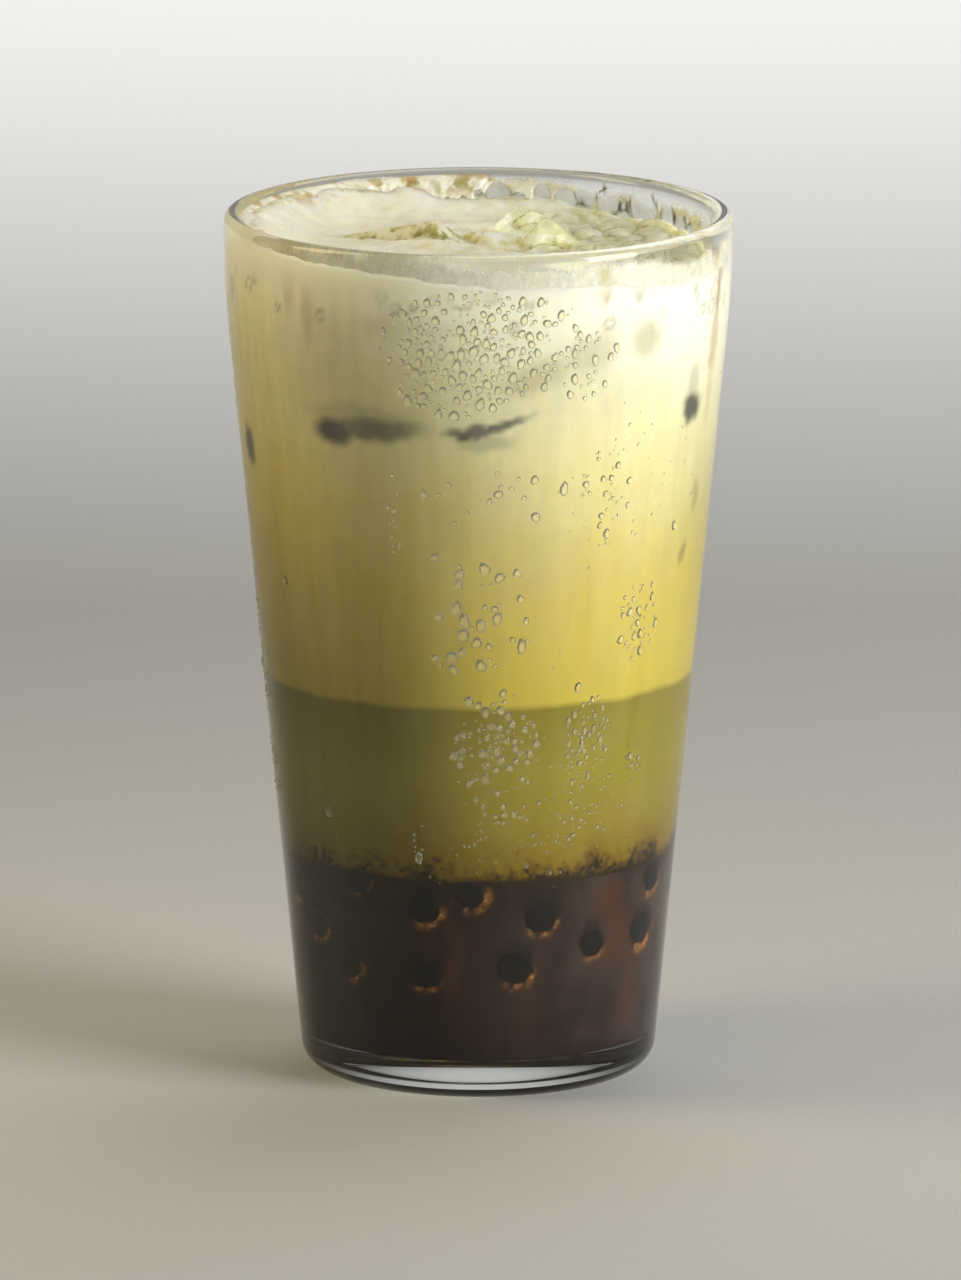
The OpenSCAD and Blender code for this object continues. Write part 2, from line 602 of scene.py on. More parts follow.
def on_side(piece):
    """The piece's vertices and a mask of those that touch the wall."""
    spots = places(piece)
    out = np.hypot(spots[:, 0], spots[:, 1])
    return spots, (out > bore_r(spots[:, 2]) + REACH / 2).astype(float)


# bearing, height, half width, half height, strength and lean of the near-black spots on the drink's side, most
# of them round the foam's lower edge
DARK_MARKS = [
    (-38, 118.6, 3.9, 2.6, 1.0, 0), (-27, 119.8, 8.5, 2.2, 0.80, 0.03),
    (-31, 122.0, 10, 2.0, 0.30, 0), (-2, 119.9, 4.5, 1.1, 0.92, 0.1),
    (6, 121.2, 4.4, 0.75, 0.9, 0.3), (2, 118.3, 5, 1.4, 0.35, 0),
    (64, 120.5, 2.8, 2.8, 0.95, 0), (64, 125, 2.0, 3.4, 0.30, 0),
    (-76, 112.5, 2.2, 3.2, 0.9, 0), (66, 94.2, 1.3, 1.5, 0.45, 0.4),
    (71, 104.2, 1.3, 2.8, 0.3, 0), (118, 119, 3.4, 2.0, 0.9, 0), (128, 120, 6, 1.3, 0.5, -0.05),
    (176, 121, 5.5, 1.0, 0.7, 0.15), (225, 117, 2.6, 2.4, 0.9, 0), (236, 118, 6.5, 1.3, 0.4, 0),
]
# the same for faint tan clouds in the foam, where matcha shows through
TAN_MARKS = [
    (44, 134.7, 3.0, 2.9, 0.55, 0), (14, 129.5, 6, 2.6, 0.5, 0.3), (28, 133, 5, 3.5, 0.45, 0.2),
    (-20, 138, 11, 1.8, 0.2, 0), (-40, 133, 7, 9, 0.2, 0), (150, 131, 7, 3, 0.4, 0.2),
    (200, 135, 5, 4, 0.4, 0), (262, 133, 8, 6, 0.3, 0), (100, 137, 5, 3, 0.35, 0),
]
# the same for yellow-brown dribbles under the rim
RUST_MARKS = [
    (75, 144.5, 1.6, 3.2, 0.9, 0), (74, 139, 1.2, 4.5, 0.75, 0), (73.5, 131, 1.8, 6, 0.5, 0),
    (73, 122, 1.4, 6, 0.3, 0), (-50, 143, 1.5, 4.5, 0.30, 0.3),
    (-44, 139.5, 1.2, 5.0, 0.28, -0.2), (31, 143.5, 1.0, 2.4, 0.55, 0),
    (160, 142, 1.5, 3.5, 0.7, 0), (208, 143, 2.2, 2.6, 0.6, 0), (250, 140, 1.3, 4.5, 0.6, 0),
]


def marks(spots, table, soft, seed):
    """The strongest of the table's marks at each spot, with edges that wander."""
    ragged = spots + 2.2 * (cloudy(spots, 2.6, seed)[:, None] - 0.5)
    layers = [strength * spot(ragged, *place, soft, lean) for *place, strength, lean in table]
    return np.max(layers, axis=0)


def pearl_glow(spots):
    """Amber light under each pearl: a broken crescent along its lower edge, and a few sparks inside it."""
    glow = np.zeros(len(spots))
    for k, (bearing, z, size) in enumerate(pearl_spots):
        right, up = off(spots, bearing, z)
        far = np.hypot(right, up * 0.95) / size
        down = np.degrees(np.arctan2(-up, right))
        arc_mask = smooth((75 - abs(down - 75 + 12 * (k % 3))) / 35)
        band = np.exp(-(((far - 0.88) / (0.10 + 0.07 * (k % 3))) ** 2))
        broken = smooth(3.0 * wander(spots, 1.1, 31 + k) - 0.9)
        near_edge = smooth((1.15 - abs(far - 0.7)) / 0.3 - 2.4)
        sparks = smooth((wander(spots, 0.8, 131 + k) - 0.74) / 0.1) * near_edge * (up < 0)
        glow = np.maximum(glow, (0.5 + 0.5 * ((k * 7) % 4) / 3) * band * arc_mask * broken)
        glow = np.maximum(glow, sparks)
    return glow


def pearl_dark(spots):
    """The dark halo round each pearl, a little ragged."""
    dark = np.zeros(len(spots))
    for bearing, z, size in pearl_spots:
        right, up = off(spots, bearing, z)
        far = np.hypot(right, up - 0.5) / size + 0.5 * (wander(spots, 2, 51) - 0.5)
        dark = np.maximum(dark, 1 - smooth((far - 0.75) / 0.35))
    return dark


# bearing, half width, lower and upper end, strength of the rust-red streaks that sink through the syrup
STREAKS = [
    (-7, 2.2, 15, 35, 0.75), (-16, 1.6, 24, 34, 0.5), (50, 4.0, 20, 40, 1.0),
    (60, 3.0, 8, 34, 0.7), (18, 1.8, 9, 25, 0.35), (100, 3.0, 14, 38, 0.8),
    (135, 2.0, 10, 34, 0.6), (170, 3.2, 18, 39, 0.8), (215, 2.2, 12, 36, 0.7),
    (-75, 2.5, 15, 37, 0.5), (255, 3.0, 20, 38, 0.6),
]


def rust_streaks(spots):
    """Soft upright streaks that sway a little and fade at both ends."""
    rust = np.zeros(len(spots))
    sway = 5 * (wander(spots * (0, 0, 1), 7, 61) - 0.5)
    for bearing, half, low, high, strength in STREAKS:
        right, up = off(spots, bearing, 0)
        across = 1 - smooth((abs(right + sway) / half - 0.4) / 0.6)
        along = smooth((up - low) / 6) * smooth((high - up) / 5)
        rust = np.maximum(rust, strength * across * along)
    return rust * (0.55 + 0.45 * cloudy(spots, 3, 62))


# bearing, lower and upper end of thin black drips
DRIPS = [
    (-16.5, 6.5, 20), (9, 7.0, 16), (-50, 8, 19), (70, 7, 18), (120, 7, 20), (190, 7, 17),
    (230, 7.5, 22),
]
DRIP_HALF = 0.34


def black_drips(spots):
    """Hair-thin drips that lean a little."""
    black = np.zeros(len(spots))
    for bearing, low, high in DRIPS:
        right, up = off(spots, bearing, 0)
        sway = 0.45 * np.sin((up - low) / 2.5) - (up - low) * 0.05
        line = np.exp(-(((right - sway) / DRIP_HALF) ** 2))
        black = np.maximum(black, line * smooth((up - low + 0.8) / 0.8) * smooth((high - up) / 4))
    return black


# bearing, height and radius of the first bubbles under the foam's edge, then the ranges of the others
EDGE_BUBBLES = [
    (-3.8, 143.6, 2.0), (-10.8, 143.0, 0.7), (2.8, 143.5, 0.8), (12, 142.2, 0.6), (-15, 141.8, 0.6),
]
MORE_BUBBLES = 60
BUBBLE_HEIGHTS = (137, 143.6)
BUBBLE_SIZES = (0.4, 1.1)
RING_HALF = 0.26


def wall_rings(spots):
    """Outlines of bubbles that press against the wall just under the foam's edge."""
    random = np.random.default_rng(71)
    rings = np.zeros(len(spots))
    bubbles = list(EDGE_BUBBLES)
    for _ in range(MORE_BUBBLES):
        place = random.uniform(-180, 180), random.uniform(*BUBBLE_HEIGHTS)
        bubbles.append((*place, random.uniform(*BUBBLE_SIZES)))
    for bearing, z, size in bubbles:
        right, up = off(spots, bearing, z)
        rings = np.maximum(rings, np.exp(-(((np.hypot(right, up) - size) / RING_HALF) ** 2)))
    return rings


# %% [markdown]
# The rule for colour reads a height in millimetres. Each boundary gets its own raggedness: wisps and flecks
# over the syrup, an almost straight line over the matcha, and a slow cloudy change into foam that dips lower
# on the right. Fine upright streaks run through everything, left by the drink as it came to rest. Low on the
# left the matcha and milk are darkened as painted shade, and a band of painted shade runs down the right-hand
# side.

# %% Colour by height
RAMP = [
    (0, (0.018, 0.008, 0.006)),
    (30, (0.020, 0.009, 0.006)),
    (39.4, (0.018, 0.009, 0.004)),
    (40.6, (0.11, 0.060, 0.004)),
    (43, (0.23, 0.150, 0.004)),
    (49, (0.28, 0.210, 0.008)),
    (58, (0.30, 0.245, 0.012)),
    (68, (0.255, 0.208, 0.006)),
    (70.2, (0.24, 0.196, 0.006)),
    (71.2, (0.60, 0.48, 0.055)),
    (90, (0.66, 0.53, 0.080)),
    (104, (0.71, 0.60, 0.17)),
    (117, (0.80, 0.73, 0.37)),
    (127, (0.85, 0.80, 0.52)),
    (137, (0.90, 0.88, 0.74)),
    (151, (0.91, 0.89, 0.78)),
]
WALL_SLOPE = 0.087  # the drink grows this much wider on each side for each millimetre of height


def drink_colour(f):
    """The drink's colour at any spot: its height, pushed up and down by clouds, looked up in RAMP.

    The colour found is then scaled down in streaks, and as painted shade low on the left and in a band down
    the right-hand side.
    """
    z, x = f.axis("Z"), f.axis("X")
    near_syrup = z.step(SYRUP_TOP, SYRUP_TOP + 2) * (1 - z.step(SYRUP_TOP + 5, SYRUP_TOP + 16))
    near_foam = z.step(MATCHA_TOP + 8, MILK_TOP - 8)
    wisps = (f.noise(6, 5, 0.68) - 0.5) * 14 * near_syrup
    flecks = (f.noise(1.0, 3) - 0.5) * 7 * near_syrup
    ripples = (f.noise(9, 2) - 0.5) * 1.2 * (1 - near_syrup)
    clouds = ((f.noise(16, 3) - 0.5) * 17 + x * 0.17) * near_foam
    height = z + wisps + flecks + ripples + clouds
    stops = [(at / GLASS_H, colour) for at, colour in RAMP]
    plain = f.add("ShaderNodeValToRGB", {"stops": stops}, {"Fac": height / GLASS_H}, "Color")
    # painted shade: darker on the left low down, fading out up through the milk; it is added to the streaks'
    # mask below
    left_shade = (1 - x.step(-34, 8)) * (1 - z.step(MATCHA_TOP - 2, MATCHA_TOP + 46)) * 0.92
    streaks = f.noise(2.6, 3, where=f.stretched(1, 1, 0.07)).step(0.35, 0.75) * 0.13 + left_shade
    # painted shade: a band down the right-hand edge, strongest in the milk
    strength = 0.18 + z.step(MATCHA_TOP, MATCHA_TOP + 30) * 0.17 - z.step(104, 134) * 0.33
    shaded = (x - z * WALL_SLOPE).step(15, 29) * strength
    return f.mix(shaded, f.mix(streaks, plain, f.scaled(plain, 0.45)), f.scaled(plain, 0.22))


def layer_finish(name):
    """One layer of drink: the shared colour and the marks on its side, matt because it touches glass."""
    f = Finish(name)
    return f.finish(f.surface(Base_Color=marked_colour(f), Roughness=0.6, Specular_IOR_Level=0.0))


def marked_colour(f):
    """The drink's colour with the tan, rust, ringed and dark marks over it."""
    colour = drink_colour(f)
    grain = f.noise(0.55, 2)
    colour = f.mix(f.attribute("tan") * (0.65 + grain * 0.5), colour, (0.36, 0.285, 0.07))
    colour = f.mix(f.attribute("rust") * (0.5 + grain), colour, (0.36, 0.20, 0.014))
    colour = f.mix(f.attribute("rings") * 0.7, colour, (0.34, 0.33, 0.23))
    return f.mix(f.attribute("dark"), colour, (0.010, 0.007, 0.002))


# %% Bodies of syrup, matcha and milk
ROW_STEP = 0.7
EDGE = 0.01  # rows this close on both sides of a corner keep its shading sharp


def layer_path(low, high):
    """Section of a layer from the axis, out along its underside, up the wall and back to the axis."""
    rows = max(int(round((high - low) / ROW_STEP)), 2)
    z = np.concatenate([[low, low + EDGE], np.linspace(low, high, rows + 1)[1:-1], [high - EDGE, high]])
    side = np.stack([bore_r(z) + REACH, z], -1)
    flat = np.append(np.linspace(0.1, 0.98, 8), 1 - EDGE / side[0, 0])[:, None]
    under = flat * side[0] * (1, 0) + (0, low)
    over = flat[::-1] * side[-1] * (1, 0) + (0, high)
    return np.concatenate([under, side, over])


def syrup_path():
    """As layer_path, but the underside follows the rounded corner of the glass's floor."""
    corner = inner_path[inner_path[:, 1] < FLOOR_T + CORNER_R]
    flat = np.linspace(0.02, 0.98, 8)[:, None] * corner[1] * (1, 0) + (0, FLOOR_T)
    low = corner[-1, 1]
    z = np.linspace(low, SYRUP_TOP, int((SYRUP_TOP - low) / ROW_STEP))[1:]
    side = np.stack([bore_r(z), z], -1)
    path = np.concatenate([flat, corner[1:], side])
    along = np.gradient(path, axis=0)
    out = np.stack([along[:, 1], -along[:, 0]], -1)
    path = path + REACH * out / np.linalg.norm(out, axis=1, keepdims=True)
    path = np.concatenate([path[:-1], [[path[-1, 0], SYRUP_TOP - EDGE], [path[-1, 0], SYRUP_TOP]]])
    shares = np.insert(np.linspace(0.98, 0.1, 8), 0, 1 - EDGE / path[-1, 0])[:, None]
    over = shares * path[-1] * (1, 0) + (0, SYRUP_TOP)
    return np.concatenate([path, over])


syrup = spun("syrup", syrup_path())
matcha = spun("matcha_layer", layer_path(SYRUP_TOP, MATCHA_TOP))
milk = spun("milk_layer", layer_path(MATCHA_TOP, MILK_TOP))

# %% [markdown]
# ## The foam's surface
#
# The foam is thick and wet. On the left it is smooth and climbs the wall. In the middle it folds over the
# ice, and a corner of one cube stands up in a coat of foam, as three planes that meet in a point. At the back
# on the right the foam has broken into large green bubbles. The surface is a height for each place, the same
# gentle shape as the solid model's with the corner, the folds and the bubbles added. Bubbles that crowd
# together share flat walls, and the roof they make is the highest of their round caps at each spot.

# %% Crowded bubbles


def bubble_roof(right, up, cells, wall=0.42):
    """Height of the highest cap over each spot, and a crease mask.

    A cell of radius r whose middle is d away has the power r * r - d * d. The largest power wins the spot and
    its root is the cap's height. Where the two largest are nearly equal two bubbles share a wall, whose
    width is the share wall of their size.
    """
    best = np.full(right.shape, -1e3)
    second = best.copy()
    size = np.ones(right.shape)
    for a, b, r in cells:
        power = r * r - (right - a) ** 2 - (up - b) ** 2
        wins = power > best
        second = np.where(wins, best, np.maximum(second, power))
        size = np.where(wins, r, size)
        best = np.maximum(best, power)
    crease = 1 - smooth((best - second) / (wall * size))
    return np.sqrt(np.maximum(best, 0)), crease * (best > 0)


def crowd(seed, count, low, high, sizes, grows):
    """Random cells in a box, small ones far more common; grows gives a factor for each place."""
    random = np.random.default_rng(seed)
    a = random.uniform(low[0], high[0], count)
    b = random.uniform(low[1], high[1], count)
    r = sizes[0] + (sizes[1] - sizes[0]) * random.random(count) ** 3
    return np.stack([a, b, r * grows(a, b)], -1)


# %% Height of the foam
FOAM_DROP = 7
FOAM_Z = GLASS_H - FOAM_DROP
FOAM_SLOPE = 0.8
CLIMB_H = 2
CLIMB_W = 9
CLIMB_DIR = 155
SWIRL_H = 0.25
SWIRL_N = 3
HEAPS = [(-7, 5, 6, 1.6), (5, -10, 8, 1.1), (-20, -9, 9, 0.8), (25, 15, 11, -0.9)]
FROTH_AT = (27, 14)
FROTH_R = 22
SHORE_W = 15
SHORE_DIR = 170
LIP_ROOM = 1.6


def froth_share(x, y):
    """1 where the foam has broken into bubbles, 0 where it is smooth."""
    spots = np.stack([x, y, 0 * x], -1)
    far = np.hypot(x - FROTH_AT[0], (y - FROTH_AT[1]) / 1.15) + 9 * (cloudy(spots, 9, 81) - 0.5)
    return 1 - smooth((far - FROTH_R + 5) / 9)


# the corner of ice that stands out of the foam: its place, its height, and the fall of its three faces
CORNER = (-7, 6, 148.3)
CORNER_FACES = [(0.42, 0.75), (-1.3, 0.50), (-0.05, -0.95)]


def ice_corner(x, y):
    """Height of the lowest of three planes that meet in the corner, and which plane that is."""
    planes = np.stack([CORNER[2] + a * (x - CORNER[0]) + b * (y - CORNER[1]) for a, b in CORNER_FACES])
    return planes.min(0), planes.argmin(0)


froth_cells = crowd(82, 620, (-5, -20), (42, 42), (0.6, 2.7), lambda a, b: 0.6 + 0.6 * froth_share(a, b))


def foam_height(x, y):
    """Height of the foam over x, y: the solid model's shape, folds over the ice, billows and bubbles."""
    wall = bore_r(FOAM_Z)
    rho, turn = np.hypot(x, y), np.arctan2(y, x)
    spots = np.stack([x, y, 0 * x], -1)
    leans = 0.5 + 0.5 * np.cos(turn - math.radians(CLIMB_DIR))
    height = FOAM_Z - FOAM_SLOPE * x / wall
    height += CLIMB_H * smooth((rho - wall + CLIMB_W) / CLIMB_W) * leans
    height += SWIRL_H * np.sin(SWIRL_N * turn + 2 * np.pi * rho / wall) * smooth(rho / wall)
    for heap_x, heap_y, width, rise in HEAPS:
        height += rise * np.exp(-(((x - heap_x) ** 2 + (y - heap_y) ** 2) / width**2))
    froth = froth_share(x, y)
    height += 2.2 * (cloudy(spots, 11, 83) - 0.5) + 0.6 * (cloudy(spots, 2.4, 84) - 0.5)
    fold = 1 - abs(2 * cloudy(spots + 3 * cloudy(spots, 8, 85)[..., None], 7, 86, 2) - 1)
    folded = np.exp(-(((x - 3) / 15) ** 2) - ((y - 8) / 9) ** 2)
    height += 2.4 * folded * (fold**6 - 0.25)
    toward_shore = 0.5 + 0.5 * np.cos(turn - math.radians(SHORE_DIR))
    shore = smooth((rho - wall + SHORE_W) / SHORE_W) * toward_shore**1.5
    height += shore * (1.2 + 3.6 * cloudy(spots, 6, 88))
    roof, crease = bubble_roof(x, y, froth_cells)
    height += froth * (0.36 * roof - 0.8)
    corner = ice_corner(x, y)[0] + 0.25 * (cloudy(spots, 2.5, 87) - 0.5)
    return np.maximum(np.minimum(height, GLASS_H - LIP_ROOM), corner), crease


# %% Body of foam
TOP_RINGS = 100


def foam_grid():
    """Underside, side and top of the foam as one grid of rings."""
    edge = on_ring(bore_r(FOAM_Z) + REACH, bearings, 0)
    edge_z = foam_height(edge[:, 0], edge[:, 1])[0]
    foot_r = bore_r(MILK_TOP) + REACH
    shares = np.append(np.linspace(0.1, 0.98, 8), 1 - EDGE / foot_r)
    under = [on_ring(share * foot_r, bearings, MILK_TOP) for share in shares]
    rows = int((FOAM_Z - MILK_TOP) / ROW_STEP)
    side_z = MILK_TOP + (edge_z - MILK_TOP) * np.append([0, 3e-4], np.linspace(0, 1, rows)[1:])[:, None]
    side = on_ring(bore_r(side_z) + REACH, bearings[None, :], side_z)
    top = []
    for share in np.linspace(1, 0, TOP_RINGS + 1)[1:-1]:
        ring = on_ring(share * (bore_r(edge_z) + REACH), bearings, 0)
        ring[:, 2] = foam_height(ring[:, 0], ring[:, 1])[0]
        top.append(ring)
    return np.concatenate([np.array(under), side, np.array(top)])


foam = skin("foam_body", foam_grid())


def paint_side(piece):
    """Stores the marks that show on the outside of a layer."""
    spots, side = on_side(piece)
    paint(piece, "side", side)
    paint(piece, "dark", side * marks(spots, DARK_MARKS, 0.9, 41))
    paint(piece, "tan", side * marks(spots, TAN_MARKS, 1.3, 42))
    paint(piece, "rust", side * marks(spots, RUST_MARKS, 1.2, 43))
    paint(piece, "rings", side * wall_rings(spots))


for layer in (matcha, milk, foam):
    paint_side(layer)

# %% [markdown]
# ### Finishes of the four layers
#
# Syrup is nearly black, with amber light only under the pearls. In matcha and milk light is scattered and
# comes out a few millimetres away. Subsurface scattering would show that, but two such bodies that touch
# leave a dark seam between them, so these layers are plain matt and their soft changes of colour are painted.
# The foam scatters most of all, so its upper part does use subsurface scattering. On top its colour changes
# from ivory to olive where the bubbles are, and brown crumbs lie along its high edge.

# %% Syrup


def syrup_finish():
    """Dark syrup with rust-red streaks, painted amber light under the pearls, thin black drips, and pale
    clouds of painted light on its lit right side.
    """
    f = Finish("pearl syrup")
    colour = drink_colour(f)
    grain = f.noise(0.6, 2)
    # painted light: pale purple-brown clouds, much stronger on the lit right-hand side
    lit_haze = f.noise(9, 3)
    lit_side = f.axis("X").step(-4, 22)
    colour = f.mix(lit_haze.step(0.25, 0.7) * (0.12 + lit_side * 0.55), colour, (0.070, 0.044, 0.036))
    colour = f.mix(f.attribute("rust") * 0.9, colour, (0.075, 0.024, 0.008))
    colour = f.mix(f.attribute("dark"), colour, (0.008, 0.007, 0.006))
    # painted light: amber crescents and glints under each pearl, where light comes through
    amber = f.mix(grain.step(0.48, 0.72), (0.30, 0.095, 0.012), (0.52, 0.33, 0.14))
    colour = f.mix(f.attribute("amber"), colour, amber)
    return f.finish(f.surface(Base_Color=colour, Roughness=0.35, Specular_IOR_Level=0.0))


spots, side = on_side(syrup)
paint(syrup, "rust", side * rust_streaks(spots))
paint(syrup, "dark", side * np.maximum(0.75 * pearl_dark(spots), black_drips(spots)))
paint(syrup, "amber", side * pearl_glow(spots))
wear(syrup, syrup_finish(), "pearl_syrup", "pearl_syrup")

# %% Matcha, milk and foam


def foam_finish():
    """Side as the layers below; on top ivory, yellow-green in folds, olive among bubbles, and olive with
    painted shade on the ice corner's two front faces.

    Light seeps into the upper part. Near the milk it does not, or the hidden underside would show as a line.
    """
    f = Finish("milk foam")
    colour = marked_colour(f)
    green = f.noise(3.2, 4, 0.65).step(0.46, 0.62)
    colour = f.mix(f.attribute("fold") * green * 0.9, colour, (0.56, 0.52, 0.15))
    wet = f.noise(2.2, 3).step(0.35, 0.65)
    colour = f.mix(f.attribute("froth") * (0.35 + wet * 0.5), colour, (0.55, 0.55, 0.34))
    colour = f.mix(f.attribute("crease") * 0.85, colour, (0.24, 0.23, 0.05))
    crust = f.attribute("shore") * f.noise(2.4, 4, 0.7).step(0.50, 0.60)
    crumbs = f.mix(f.noise(4, 2).step(0.4, 0.6), (0.56, 0.34, 0.08), (0.56, 0.50, 0.16))
    colour = f.mix(crust * 0.8, colour, crumbs)
    thin_edge = f.axis("Z").step(FOAM_Z - 3.5, FOAM_Z + 1.5) * f.attribute("side")
    colour = f.mix(thin_edge * 0.8, colour, (0.80, 0.78, 0.68))
    # the ice corner's two front faces: an olive matcha coat, made darker as painted shade
    on_ice = f.mix(f.cells(1.5).step(0.10, 0.60), (0.56, 0.54, 0.30), (0.33, 0.31, 0.12))
    on_ice = f.mix(f.noise(2.4, 4).step(0.42, 0.60), on_ice, (0.80, 0.78, 0.58))
    colour = f.mix(f.attribute("iced"), colour, on_ice)
    relief = f.bump(f.cells(0.9), 0.07, 0.5)
    flat = f.surface(Base_Color=colour, Roughness=0.6, Specular_IOR_Level=0.0)
    deep = f.surface(
        Base_Color=colour,
        Roughness=0.4,
        Specular_IOR_Level=0.3,
        Subsurface_Weight=1.0,
        Subsurface_Radius=(1.0, 0.85, 0.5),
        Subsurface_Scale=8 * MM,
        Normal=relief,
    )
    share = f.axis("Z").step(MILK_TOP + 4, MILK_TOP + 16)
    return f.finish(f.add("ShaderNodeMixShader", {}, {0: share, 1: flat, 2: deep}))


def paint_top(piece):
    """Stores where the foam's top is folded, frothy, creased, high at the wall and over the ice's corner."""
    spots = places(piece)
    x, y, z = spots.T
    inside = np.hypot(x, y) < bore_r(z) - 0.02
    top = (z > MILK_TOP + 5) & inside
    froth = froth_share(x, y)
    crease = foam_height(x, y)[1]
    paint(piece, "fold", top * np.exp(-(((x - 2) / 19) ** 2) - ((y - 8) / 12) ** 2))
    paint(piece, "froth", top * froth)
    paint(piece, "crease", top * froth * crease)
    near_wall = smooth((np.hypot(x, y) - bore_r(z) + 5) / 4)
    paint(piece, "shore", top * near_wall * smooth((z - FOAM_Z - 1.2) / 1.5))
    corner, face = ice_corner(x, y)
    # the corner's two faces that turn to the front, which get the olive coat and its painted shade
    paint(piece, "iced", top * smooth((corner - z + 0.7) / 0.5) * (face < 2))


paint_top(foam)
wear(matcha, layer_finish("matcha"), "matcha", "matcha")
wear(milk, layer_finish("matcha milk"), "matcha_milk", "milk")
wear(foam, foam_finish(), "milk_foam", "foam")

# %% [markdown]
# ## Pearls
#
# Tapioca pearls are soft. Where one leans on the glass it flattens, and only that flat patch shows through
# the dark syrup. So each pearl is a ball whose surface may not pass the wall: what would stick out is pressed
# back on to it. All the pearls are joined in one mesh.

# %% Pearls


def directions(rows, columns):
    """Unit arrows over a ball, from its bottom to its top."""
    drop = np.linspace(np.pi - 0.02, 0.02, rows)[:, None]
    turn = np.linspace(0, 2 * np.pi, columns, endpoint=False)[None, :]
    return np.stack([np.sin(drop) * np.cos(turn), np.sin(drop) * np.sin(turn), np.cos(drop) + 0 * turn], -1)


def joined(name, grids):
    """One piece from several closed grids of the same size."""
    parts = [skin("part", grid) for grid in grids]
    count = len(parts[0].data.vertices)
    loops = np.array([face.vertices[:] for face in parts[0].data.polygons if len(face.vertices) == 4])
    fans = np.array([face.vertices[:] for face in parts[0].data.polygons if len(face.vertices) == 3])
    points = np.concatenate([places(part) for part in parts])
    starts = np.arange(len(parts))[:, None, None] * count
    faces = (loops + starts).reshape(-1, 4).tolist() + (fans + starts).reshape(-1, 3).tolist()
    for part in parts:
        bpy.data.objects.remove(part)
    return mesh_piece(name, points, faces)


def pressed_pearls():
    """Balls carried to their places, then every point beyond the wall moved inwards on to it."""
    ball = directions(18, 28)
    random = np.random.default_rng(12)
    sink = 0.62  # how far a pearl's middle lies from the wall, as a share of its radius
    pearls = []
    for bearing, z, size in pearl_spots:
        uneven = 1 + 0.05 * (cloudy(ball * size + random.uniform(0, 50, 3), 3, 13)[..., None] - 0.5)
        pearl = on_ring(bore_r(z) - sink * size, bearing, z) + ball * size * uneven
        far = np.hypot(pearl[..., 0], pearl[..., 1])
        limit = bore_r(pearl[..., 2]) + REACH + PEARL_PRESS
        pearl[..., :2] *= np.minimum(1, limit / far)[..., None]
        pearls.append(pearl)
    return joined("pearls", pearls)


def pearl_finish():
    """Almost black jelly with clouds of dark brown in it."""
    f = Finish("tapioca pearl")
    cloud = f.noise(1.6, 3)
    colour = f.mix(cloud.step(0.5, 0.75) * 0.6, (0.0045, 0.0045, 0.0045), (0.020, 0.011, 0.006))
    return f.finish(f.surface(Base_Color=colour, Roughness=0.3, Specular_IOR_Level=0.0))


pearls = wear(pressed_pearls(), pearl_finish(), "pearl_syrup")

# %% [markdown]
# ## Ice
#
# Two cubes break through the foam with a corner or an edge. A cube that has begun to melt is a ball pushed
# out towards a cube's corners: each direction is divided by its own length measured with a high power, so
# faces stay nearly flat and edges are round.

# %% Ice cubes
ICE_POWER = 7
ICE_IOR = 1.31
# x and y of the middle, height of the highest point, half size, and turns about X, Y and Z in degrees
ICE = [
    (10, 16, 148.0, 9.0, 8, 44, 35),
    (17, -15, 146.2, 10, 32, 16, 20),
]


def turned(points, about_x, about_y, about_z):
    """Points turned about X, then Y, then Z, by angles in degrees."""
    for axis, angle in enumerate(np.radians([about_x, about_y, about_z])):
        a, b = [(1, 2), (2, 0), (0, 1)][axis]
        first, second = points[..., a].copy(), points[..., b].copy()
        points[..., a] = first * np.cos(angle) - second * np.sin(angle)
        points[..., b] = first * np.sin(angle) + second * np.cos(angle)
    return points


def melted_cube(half, seed):
    """Directions over a ball, each divided by the seventh root of the sum of its parts' seventh powers.

    Shallow hollows are pressed into the faces.
    """
    way = directions(72, 112)
    length = (abs(way) ** ICE_POWER).sum(-1, keepdims=True) ** (1 / ICE_POWER)
    cube = half * way / length
    return cube * (1 + 0.05 * (cloudy(cube, 5, seed)[..., None] - 0.5))


def ice_finish():
    """Clear wet ice with a faint green-grey tint and a wavy skin."""
    f = Finish("ice")
    waves = f.noise(3, 2)
    body = f.surface(
        Base_Color=(0.90, 0.93, 0.88, 1),
        Roughness=0.04,
        IOR=ICE_IOR,
        Transmission_Weight=1.0,
        Normal=f.bump(waves, 0.5),
    )
    return f.finish(f.clear_to_lamps(body, (0.9, 0.93, 0.9)))


cubes = [turned(melted_cube(half, 14 + k), *turns) for k, (_, _, _, half, *turns) in enumerate(ICE)]
cubes = [cube + (x, y, top - cube[..., 2].max()) for cube, (x, y, top, *_) in zip(cubes, ICE)]
ice = wear(joined("ice", cubes), ice_finish(), "clear_glass")

# %% [markdown]
# ## Foam left on the wall
#
# Above the drink the glass has been wetted. On the left and at the back thick foam clings up to the lip, with
# brown and olive stains along its upper edge. In front a thin grey smear is left. At the back on the right a
# cluster of big clear bubbles leans on the wall, and where two touch a dark olive line shows. All of it is
# one skin inside the bore. Its thickness is worked out for each bearing and height, and its alpha says where
# it is.

# %% Film on the wall
FILM_LOW = 139.5
FILM_HIGH = 150.2
FILM_STEP = 0.25
FILM_COLUMNS = 900
FILM_REACH = 0.06
BUBBLE_LOW = 141
ARC_R = 41  # radius that turns the small bubbles' bearings into millimetres along the wall

# bearing, height and radius of the big bubbles that lean on the far wall
WALL_BUBBLES = [
    (135, 146.0, 3.5), (146, 146.4, 2.6), (152.5, 147.2, 2.2), (126, 145.2, 2.2),
    (120.5, 144.6, 1.9), (141, 148.4, 1.3), (158, 145.8, 2.3), (148, 148.7, 1.1),
    (164, 147, 1.7), (170, 145.2, 1.9), (175, 146.4, 2.4), (115.5, 144, 1.6),
    (130.5, 148.2, 1.2), (111, 143.6, 1.3), (153.5, 144.2, 1.7), (141, 144.0, 1.7),
]


